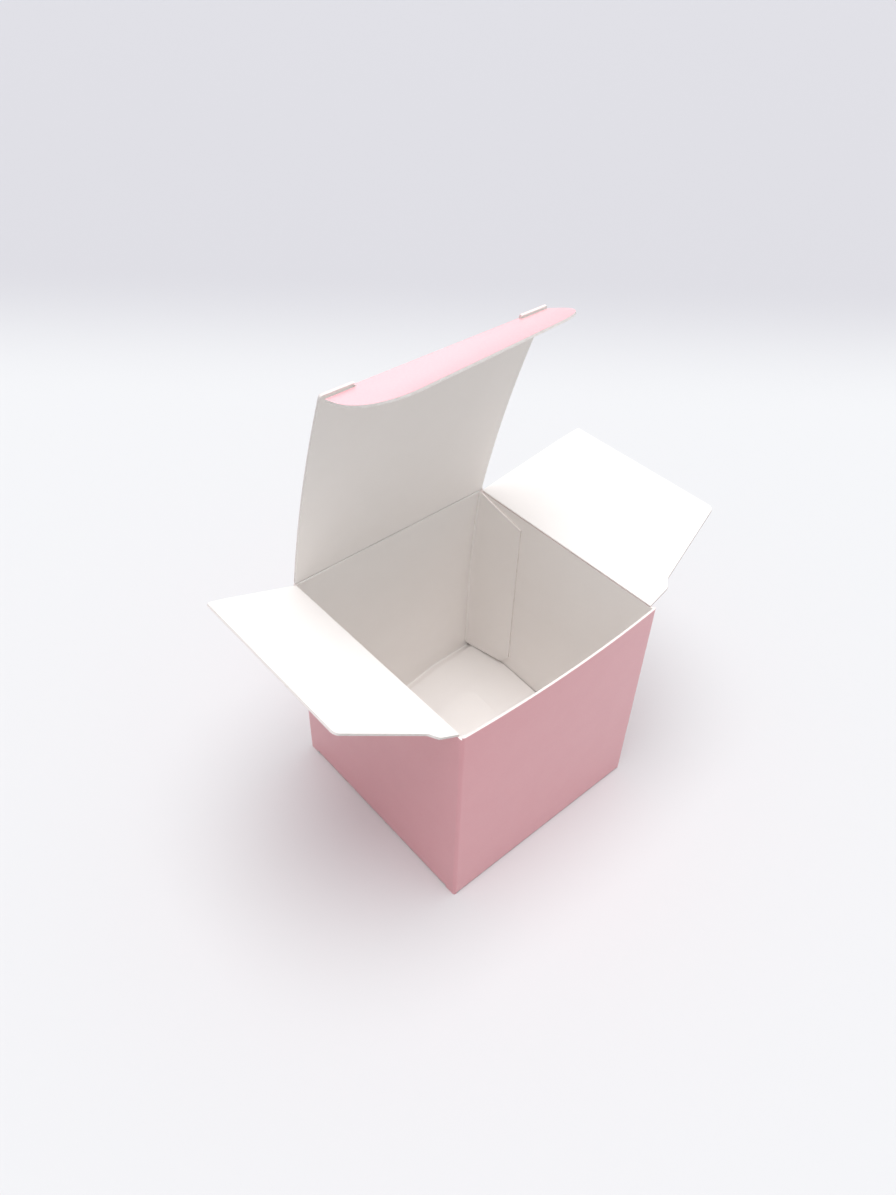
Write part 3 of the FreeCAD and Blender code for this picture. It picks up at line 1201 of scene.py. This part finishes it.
@dataclass
class DustFlap:
    """Dust flap on a side wall, with its lock shoulder towards the front."""

    board: Board
    lid: Lid
    hand: Hand
    angle: float
    length: float = 24.5 * MM
    front: float = -23.7 * MM
    rear: float = 24.25 * MM
    shoulder: float = 4.9 * MM
    notch_depth: float = 1.4 * MM
    notch_slope: float = 1.6 * MM
    front_taper: float = 3.5 * MM
    rear_bend: float = 20.0 * MM
    lid_clearance: float = 0.25 * MM
    tip_corner: float = 0.5 * MM
    front_corner: float = 1.0 * MM
    step: float = 1.3 * MM

    def outline(self, reach: Array) -> tuple[Array, Array]:
        """Front and rear edge of the flap.

        Formula: straight runs with softened corners, drawn in by a round corner at the tip.

        Args:
            reach: distance from the crease.

        Returns:
            Y of the front and of the rear edge at each distance.
        """
        notch = self.front + self.notch_depth
        foot = self.shoulder + self.notch_slope
        front = softened(reach, [0, self.shoulder, foot, self.length],
                         [self.front, self.front, notch, notch + self.front_taper], 0.3 * MM)
        rear_knots = [self.lid.inside_at(place) - self.lid_clearance
                      for place in (self.rear_bend, self.length)]
        rear = softened(reach, [0, self.rear_bend, self.length], [self.rear] + rear_knots, 0.3 * MM)
        to_tip = self.length - reach
        return front + corner_loss(to_tip, self.front_corner), rear - corner_loss(to_tip, self.tip_corner)

    def grid(self) -> CardGrid:
        """Builds the flap from its crease to its tip.

        Formula: a flat plate that leaves the crease at its angle from closed, with columns
        spread between its front and rear edge.

        Returns:
            The flap as one piece of card.
        """
        size = self.board
        back, stand = hinge_rows(size.half)
        body = through([0, 0.4 * MM, self.shoulder - 0.5 * MM, self.shoulder,
                        self.shoulder + 0.5 * MM, self.shoulder + self.notch_slope,
                        self.shoulder + self.notch_slope + 0.5 * MM, self.rear_bend - 0.3 * MM,
                        self.rear_bend + 0.3 * MM, self.length - self.front_corner], self.step)
        ends = round_end(self.length, self.front_corner, 12)
        rows = np.concatenate([back, body, ends])
        half = np.concatenate([stand, np.full(len(body) + len(ends), size.half)])
        front, rear = self.outline(np.clip(rows, 0, None))
        share = through([0, 0.4 * MM, rear[0] - front[0] - 0.4 * MM, rear[0] - front[0]],
                        self.step) / (rear[0] - front[0])
        y = front[:, None] + share[None, :] * (rear - front)[:, None]
        angle = math.radians(self.angle)
        hand = self.hand.value
        x = hand * size.flap_axis[0] - hand * rows[:, None] * math.cos(angle)
        z = size.flap_axis[1] + rows[:, None] * math.sin(angle)
        middle = stacked(x, y, z)
        offset = half[:, None, None] * np.array([hand * math.sin(angle), 0, math.cos(angle)])
        flat = stacked(y, rows[:, None])
        folds = [((self.front, 0.0), (self.rear, 0.0)), ((self.front, -size.half), (self.rear, -size.half))]
        return CardGrid(flat=flat, outer=middle + offset, inner=middle - offset,
                        cells=np.ones((len(rows) - 1, len(share) - 1), bool), folds=folds)


@dataclass(frozen=True)
class CardFinish:
    """Look of one surface of the card, from its colour down to its fibres."""

    name: str
    colour: Colour
    fleck: Colour
    worn: Colour
    roughness: float
    specular: float
    coat: float
    coat_roughness: float
    mottle: float
    fibre_depth: float
    fold_wear: float
    cut_wear: float

    def build(self) -> bpy.types.Material:
        """Makes the material.

        Formula: slow noise mottles the colour, fine drawn-out noise lays the fibres, and the
        distances to creases and cut edges, broken up by noise, rub it towards the worn colour.

        Returns:
            The node material.
        """
        material = bpy.data.materials.new(self.name)
        material.use_nodes = True
        nodes = Nodes(material)
        blank = nodes.attribute("blank", "Vector")
        cloud = nodes.noise(blank, scale=170, detail=3, roughness=0.55)
        fibres = nodes.noise(nodes.stretched(blank, (1, 0.22, 1)), scale=5200, detail=3, roughness=0.6)
        speck = nodes.noise(blank, scale=2100, detail=2, roughness=0.5)
        tone = nodes.ramp(cloud, 0.32, 0.68, 0, self.mottle)
        tint = nodes.mix(tone, self.colour, self.fleck)
        flecks = nodes.ramp(fibres, 0.55, 0.78, 0, self.mottle * 1.4)
        tint = nodes.mix(flecks, tint, self.fleck)
        broken = nodes.ramp(speck, 0.38, 0.62, 0.25, 1)
        at_fold = nodes.ramp(nodes.attribute("to_fold", "Fac"), 0.0, 0.5 * MM, self.fold_wear, 0)
        at_cut = nodes.ramp(nodes.attribute("to_cut", "Fac"), 0.0, 0.22 * MM, self.cut_wear, 0)
        wear = nodes.math("MULTIPLY", nodes.math("MAXIMUM", at_fold, at_cut), broken)
        tint = nodes.mix(wear, tint, self.worn)
        rough = nodes.ramp(speck, 0.3, 0.7, self.roughness - 0.05, self.roughness + 0.05)
        rough = nodes.math("ADD", rough, nodes.math("MULTIPLY", wear, 0.2))
        height = nodes.math("ADD", nodes.math("MULTIPLY", fibres, 0.6), nodes.math("MULTIPLY", speck, 0.5))
        height = nodes.math("ADD", height, nodes.math("MULTIPLY", cloud, 1.4))
        nodes.link(tint, "Base Color")
        nodes.link(rough, "Roughness")
        nodes.link(nodes.bump(height, self.fibre_depth), "Normal")
        nodes.set("Specular IOR Level", self.specular)
        nodes.set("Coat Weight", self.coat)
        nodes.set("Coat Roughness", self.coat_roughness)
        return material


@dataclass(frozen=True)
class CutFinish:
    """Look of the card's cut edge, where its plies show."""

    name: str
    core: Colour
    ply: Colour
    print_rim: Colour
    roughness: float
    specular: float
    depth: float

    def build(self) -> bpy.types.Material:
        """Makes the material.

        Formula: noise drawn out along the edge and packed across it gives the plies, and the
        printed face's colour bleeds over the last of its thickness.

        Returns:
            The node material.
        """
        material = bpy.data.materials.new(self.name)
        material.use_nodes = True
        nodes = Nodes(material)
        across = nodes.attribute("ply", "Fac")
        blank = nodes.attribute("blank", "Vector")
        layered = nodes.raised(nodes.stretched(blank, (900, 900, 900)), nodes.math("MULTIPLY", across, 6.0))
        plies = nodes.noise(layered, scale=1.0, detail=3, roughness=0.6)
        grit = nodes.noise(blank, scale=4200, detail=2, roughness=0.6)
        tint = nodes.mix(nodes.ramp(plies, 0.4, 0.66, 0, 0.7), self.core, self.ply)
        tint = nodes.mix(nodes.ramp(across, 0.86, 1.0, 0, 0.55), tint, self.print_rim)
        height = nodes.math("ADD", plies, nodes.math("MULTIPLY", grit, 0.6))
        nodes.link(tint, "Base Color")
        nodes.link(nodes.bump(height, self.depth), "Normal")
        nodes.set("Roughness", self.roughness)
        nodes.set("Specular IOR Level", self.specular)
        return material


class Nodes:
    """Adds and links the nodes of one material."""

    def __init__(self, material: bpy.types.Material) -> None:
        """Takes over the material's node tree.

        Args:
            material: a material with nodes.
        """
        self.tree = material.node_tree
        self.shader = self.tree.nodes["Principled BSDF"]

    def add(self, kind: str, **settings: object) -> bpy.types.Node:
        """Adds one node.

        Args:
            kind: the node's type.
            settings: properties to set on it.

        Returns:
            The node.
        """
        node = self.tree.nodes.new(kind)
        for key, value in settings.items():
            setattr(node, key, value)
        return node

    def feed(self, socket: bpy.types.NodeSocket, value: object) -> None:
        """Links a socket, or sets it where the value is a plain one.

        Args:
            socket: the input to fill.
            value: an output socket, a number or a colour.
        """
        if isinstance(value, bpy.types.NodeSocket):
            self.tree.links.new(value, socket)
        elif isinstance(value, tuple):
            socket.default_value = (*value, 1.0)
        else:
            socket.default_value = value

    def link(self, value: bpy.types.NodeSocket, name: str) -> None:
        """Links a value to the shader's input of that name."""
        self.tree.links.new(value, self.shader.inputs[name])

    def set(self, name: str, value: object) -> None:
        """Sets the shader's input of that name."""
        self.shader.inputs[name].default_value = value

    def attribute(self, name: str, output: str) -> bpy.types.NodeSocket:
        """Reads one of the card's fields.

        Args:
            name: the field.
            output: the attribute node's output.

        Returns:
            Its socket.
        """
        return self.add("ShaderNodeAttribute", attribute_name=name).outputs[output]

    def stretched(self, vector: bpy.types.NodeSocket, factor: Triple) -> bpy.types.NodeSocket:
        """Scales a vector on each of its axes.

        Args:
            vector: the vector.
            factor: one factor for each axis.

        Returns:
            The scaled vector.
        """
        node = self.add("ShaderNodeVectorMath", operation="MULTIPLY")
        self.tree.links.new(vector, node.inputs[0])
        node.inputs[1].default_value = factor
        return node.outputs[0]

    def raised(self, vector: bpy.types.NodeSocket, third: bpy.types.NodeSocket) -> bpy.types.NodeSocket:
        """Replaces a vector's third part.

        Args:
            vector: the vector.
            third: its new third part.

        Returns:
            The new vector.
        """
        parts = self.add("ShaderNodeSeparateXYZ")
        self.tree.links.new(vector, parts.inputs[0])
        whole = self.add("ShaderNodeCombineXYZ")
        self.tree.links.new(parts.outputs[0], whole.inputs[0])
        self.tree.links.new(parts.outputs[1], whole.inputs[1])
        self.tree.links.new(third, whole.inputs[2])
        return whole.outputs[0]

    def noise(self, vector: bpy.types.NodeSocket, scale: float, detail: float,
              roughness: float) -> bpy.types.NodeSocket:
        """Adds noise on a vector.

        Args:
            vector: where it is read.
            scale: how fine it is.
            detail: how many finer layers it has.
            roughness: how strong those are.

        Returns:
            Its value.
        """
        node = self.add("ShaderNodeTexNoise")
        self.tree.links.new(vector, node.inputs["Vector"])
        node.inputs["Scale"].default_value = scale
        node.inputs["Detail"].default_value = detail
        node.inputs["Roughness"].default_value = roughness
        return node.outputs["Fac"]

    def ramp(self, value: bpy.types.NodeSocket, low: float, high: float, at_low: float,
             at_high: float) -> bpy.types.NodeSocket:
        """Maps one range on another, smoothly.

        Args:
            value: the value to map.
            low: start of its range.
            high: end of its range.
            at_low: result at the start.
            at_high: result at the end.

        Returns:
            The mapped value.
        """
        node = self.add("ShaderNodeMapRange", interpolation_type="SMOOTHSTEP")
        self.tree.links.new(value, node.inputs["Value"])
        for name, setting in (("From Min", low), ("From Max", high),
                              ("To Min", at_low), ("To Max", at_high)):
            node.inputs[name].default_value = setting
        return node.outputs["Result"]

    def math(self, operation: str, first: object, second: object) -> bpy.types.NodeSocket:
        """Adds one sum of two values.

        Args:
            operation: the sum's kind.
            first: a socket or a number.
            second: a socket or a number.

        Returns:
            The result.
        """
        node = self.add("ShaderNodeMath", operation=operation)
        self.feed(node.inputs[0], first)
        self.feed(node.inputs[1], second)
        return node.outputs[0]

    def mix(self, share: object, first: object, second: object) -> bpy.types.NodeSocket:
        """Mixes two colours.

        Args:
            share: how much of the second.
            first: a socket or a colour.
            second: a socket or a colour.

        Returns:
            The mixed colour.
        """
        node = self.add("ShaderNodeMix", data_type="RGBA")
        self.feed(node.inputs["Factor"], share)
        self.feed(node.inputs[6], first)
        self.feed(node.inputs[7], second)
        return node.outputs[2]

    def bump(self, height: bpy.types.NodeSocket, depth: float) -> bpy.types.NodeSocket:
        """Turns a height into a bumped normal.

        Args:
            height: the height, around 1.
            depth: how deep a height of 1 is, in metres.

        Returns:
            The normal.
        """
        node = self.add("ShaderNodeBump")
        node.inputs["Strength"].default_value = BUMP_STRENGTH
        node.inputs["Distance"].default_value = depth
        self.tree.links.new(height, node.inputs["Height"])
        return node.outputs["Normal"]


@dataclass
class Studio:
    """Pale table, one wide soft lamp overhead, an even sky, and the camera."""

    eye: Triple = (-93.96 * MM, -95.94 * MM, 174.25 * MM)
    turn: Triple = (47.03, -1.42, -40.97)
    focal_px: float = 945.7
    image_height_px: int = 1195
    sensor: float = 36.0
    clip: tuple[float, float] = (0.01, 20.0)
    table_drop: float = 0.03 * MM
    table_roughness: float = 0.9
    table_specular: float = 0.1
    table_reach: float = 4.0
    key_tilt: tuple[float, float] = (-0.05, -0.04)
    key_spread: float = 50.0
    key_power: float = 2.35
    key_colour: Colour = (1.0, 0.992, 1.02)
    sky_level: float = 0.47
    sky_slope: Triple = (0.06, 0.0, 0.18)
    sky_mirrored: float = 1.9
    sky_colour: Colour = (0.964, 0.998, 1.022)
    near_white: Colour = (0.695, 0.695, 0.695)
    # painted shade: the table's colour far behind the carton, greyer where the light falls off
    far_painted_shade: Colour = (0.555, 0.547, 0.568)
    bounce: Colour = (0.42, 0.416, 0.412)
    grey_from: float = 0.150
    grey_at: float = 0.255

    def camera(self) -> bpy.types.Object:
        """Places the camera.

        Formula: the lens is the focal length in pixels times the sensor's size over the
        image's longer side.

        Returns:
            The camera, set as the scene's own.
        """
        data = bpy.data.cameras.new("camera")
        data.sensor_width = self.sensor
        data.lens = self.focal_px * self.sensor / self.image_height_px
        data.clip_start, data.clip_end = self.clip
        camera = bpy.data.objects.new("camera", data)
        camera.location = self.eye
        camera.rotation_euler = tuple(math.radians(angle) for angle in self.turn)
        bpy.context.scene.collection.objects.link(camera)
        bpy.context.scene.camera = camera
        return camera

    def table(self) -> bpy.types.Object:
        """Lays the pale table, a little below the carton's foot.

        Returns:
            The table.
        """
        reach = self.table_reach
        corners = [(-reach, -reach, -self.table_drop), (reach, -reach, -self.table_drop),
                   (reach, reach, -self.table_drop), (-reach, reach, -self.table_drop)]
        mesh = bpy.data.meshes.new("table")
        mesh.from_pydata(corners, [], [(0, 1, 2, 3)])
        mesh.materials.append(self.table_finish())
        table = bpy.data.objects.new("table", mesh)
        bpy.context.scene.collection.objects.link(table)
        return table

    def table_finish(self) -> bpy.types.Material:
        """Makes the table's matt white, greyer far behind the carton.

        Formula: the colour follows the distance along the line from the camera over the carton, as a smooth
        step to a painted shade that stands for the light falling off far behind the carton.

        Returns:
            The node material.
        """
        material = bpy.data.materials.new("table_white")
        material.use_nodes = True
        nodes = Nodes(material)
        where = nodes.add("ShaderNodeTexCoord").outputs["Object"]
        line = nodes.add("ShaderNodeVectorMath", operation="DOT_PRODUCT")
        nodes.tree.links.new(where, line.inputs[0])
        heading = math.radians(self.turn[2])
        line.inputs[1].default_value = (-math.sin(heading), math.cos(heading), 0)
        # painted shade: the table greys towards its far colour behind the carton, where the light falls off
        far = nodes.ramp(line.outputs["Value"], self.grey_from, self.grey_at, 0, 1)
        seen = nodes.mix(far, self.near_white, self.far_painted_shade)
        path = nodes.add("ShaderNodeLightPath").outputs
        direct = nodes.math("MAXIMUM", path["Is Camera Ray"], path["Is Glossy Ray"])
        nodes.link(nodes.mix(direct, self.bounce, seen), "Base Color")
        nodes.set("Roughness", self.table_roughness)
        nodes.set("Specular IOR Level", self.table_specular)
        return material

    def lights(self) -> None:
        """Hangs one wide soft lamp overhead, and sets an even pale sky.

        Formula: the lamp stands overhead, tilted to shine a little from the left and the front.
        The sky is even where it is mirrored. Where it lights the card it is dimmer, and
        brightens a little to the right and upwards.
        """
        data = bpy.data.lights.new("overhead", "SUN")
        data.angle = math.radians(self.key_spread)
        data.energy = self.key_power
        data.color = self.key_colour
        lamp = bpy.data.objects.new("overhead", data)
        across, along = self.key_tilt
        lamp.rotation_euler = (-math.atan(along), math.atan(across), 0)
        bpy.context.scene.collection.objects.link(lamp)
        world = bpy.data.worlds.new("sky")
        world.use_nodes = True
        tree = world.node_tree
        backdrop = tree.nodes["Background"]
        backdrop.inputs["Color"].default_value = (*self.sky_colour, 1)
        where = tree.nodes.new("ShaderNodeTexCoord").outputs["Generated"]
        slope = tree.nodes.new("ShaderNodeVectorMath")
        slope.operation = "DOT_PRODUCT"
        slope.inputs[1].default_value = self.sky_slope
        tree.links.new(where, slope.inputs[0])
        level = tree.nodes.new("ShaderNodeMath")
        level.inputs[1].default_value = self.sky_level
        tree.links.new(slope.outputs["Value"], level.inputs[0])
        path = tree.nodes.new("ShaderNodeLightPath")
        strength = tree.nodes.new("ShaderNodeMix")
        tree.links.new(path.outputs["Is Glossy Ray"], strength.inputs["Factor"])
        tree.links.new(level.outputs[0], strength.inputs["A"])
        strength.inputs["B"].default_value = self.sky_mirrored
        tree.links.new(strength.outputs["Result"], backdrop.inputs["Strength"])
        bpy.context.scene.world = world
        bpy.context.scene.view_settings.view_transform = "Standard"


PRINT = CardFinish(
    name="pink_print", colour=srgb(240, 166, 173), fleck=srgb(232, 154, 162), worn=srgb(246, 222, 226),
    roughness=0.42, specular=0.5, coat=0.8, coat_roughness=0.25, mottle=0.15,
    fibre_depth=0.012 * MM, fold_wear=0.03, cut_wear=0.4)
WHITE_BOARD = CardFinish(
    name="white_board", colour=srgb(251, 246, 242), fleck=srgb(247, 241, 236), worn=srgb(248, 247, 245),
    roughness=0.82, specular=0.25, coat=0.0, coat_roughness=0.5, mottle=0.16,
    fibre_depth=0.016 * MM, fold_wear=0.3, cut_wear=0.2)
CUT_EDGE = CutFinish(
    name="cut_edge", core=srgb(246, 240, 236), ply=srgb(226, 216, 209), print_rim=srgb(236, 190, 197),
    roughness=0.9, specular=0.25, depth=0.02 * MM)


def place_piece(grid: CardGrid, node: str, body: str, finishes: dict[Side, bpy.types.Material]) -> None:
    """Puts a finished piece of card in the scene, in place of its plain solid.

    Args:
        grid: the piece on its grid.
        node: the solid that it stands for.
        body: the body that it moves with.
        finishes: material of each side.
    """
    obj = grid.piece(node.replace("_", "-") + "-card", finishes)
    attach(obj, body)
    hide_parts(node)
    LOG.info("%s: %d faces", obj.name, len(obj.data.polygons))


def main() -> None:
    """Builds the carton piece by piece, then the studio."""
    logging.basicConfig(level=logging.INFO, format="%(name)s %(message)s")
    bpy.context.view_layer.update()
    board = Board.from_frame()
    finishes = {Side.PRINT: PRINT.build(), Side.BOARD: WHITE_BOARD.build(), Side.CUT: CUT_EDGE.build()}
    lid = Lid(board)
    place_piece(CartonBody(board).grid(), "carton_body", "carton", finishes)
    place_piece(lid.grid(), "lid_panel", "lid", finishes)
    place_piece(TuckFlap(board, lid).grid(), "tuck_flap", "tuck", finishes)
    place_piece(DustFlap(board, lid, Hand.LEFT, 149.6).grid(), "dust_flap_left", "left_flap", finishes)
    place_piece(DustFlap(board, lid, Hand.RIGHT, 156.2).grid(), "dust_flap_right", "right_flap", finishes)
    studio = Studio()
    studio.table()
    studio.lights()
    studio.camera()


if __name__ == "__main__":
    main()
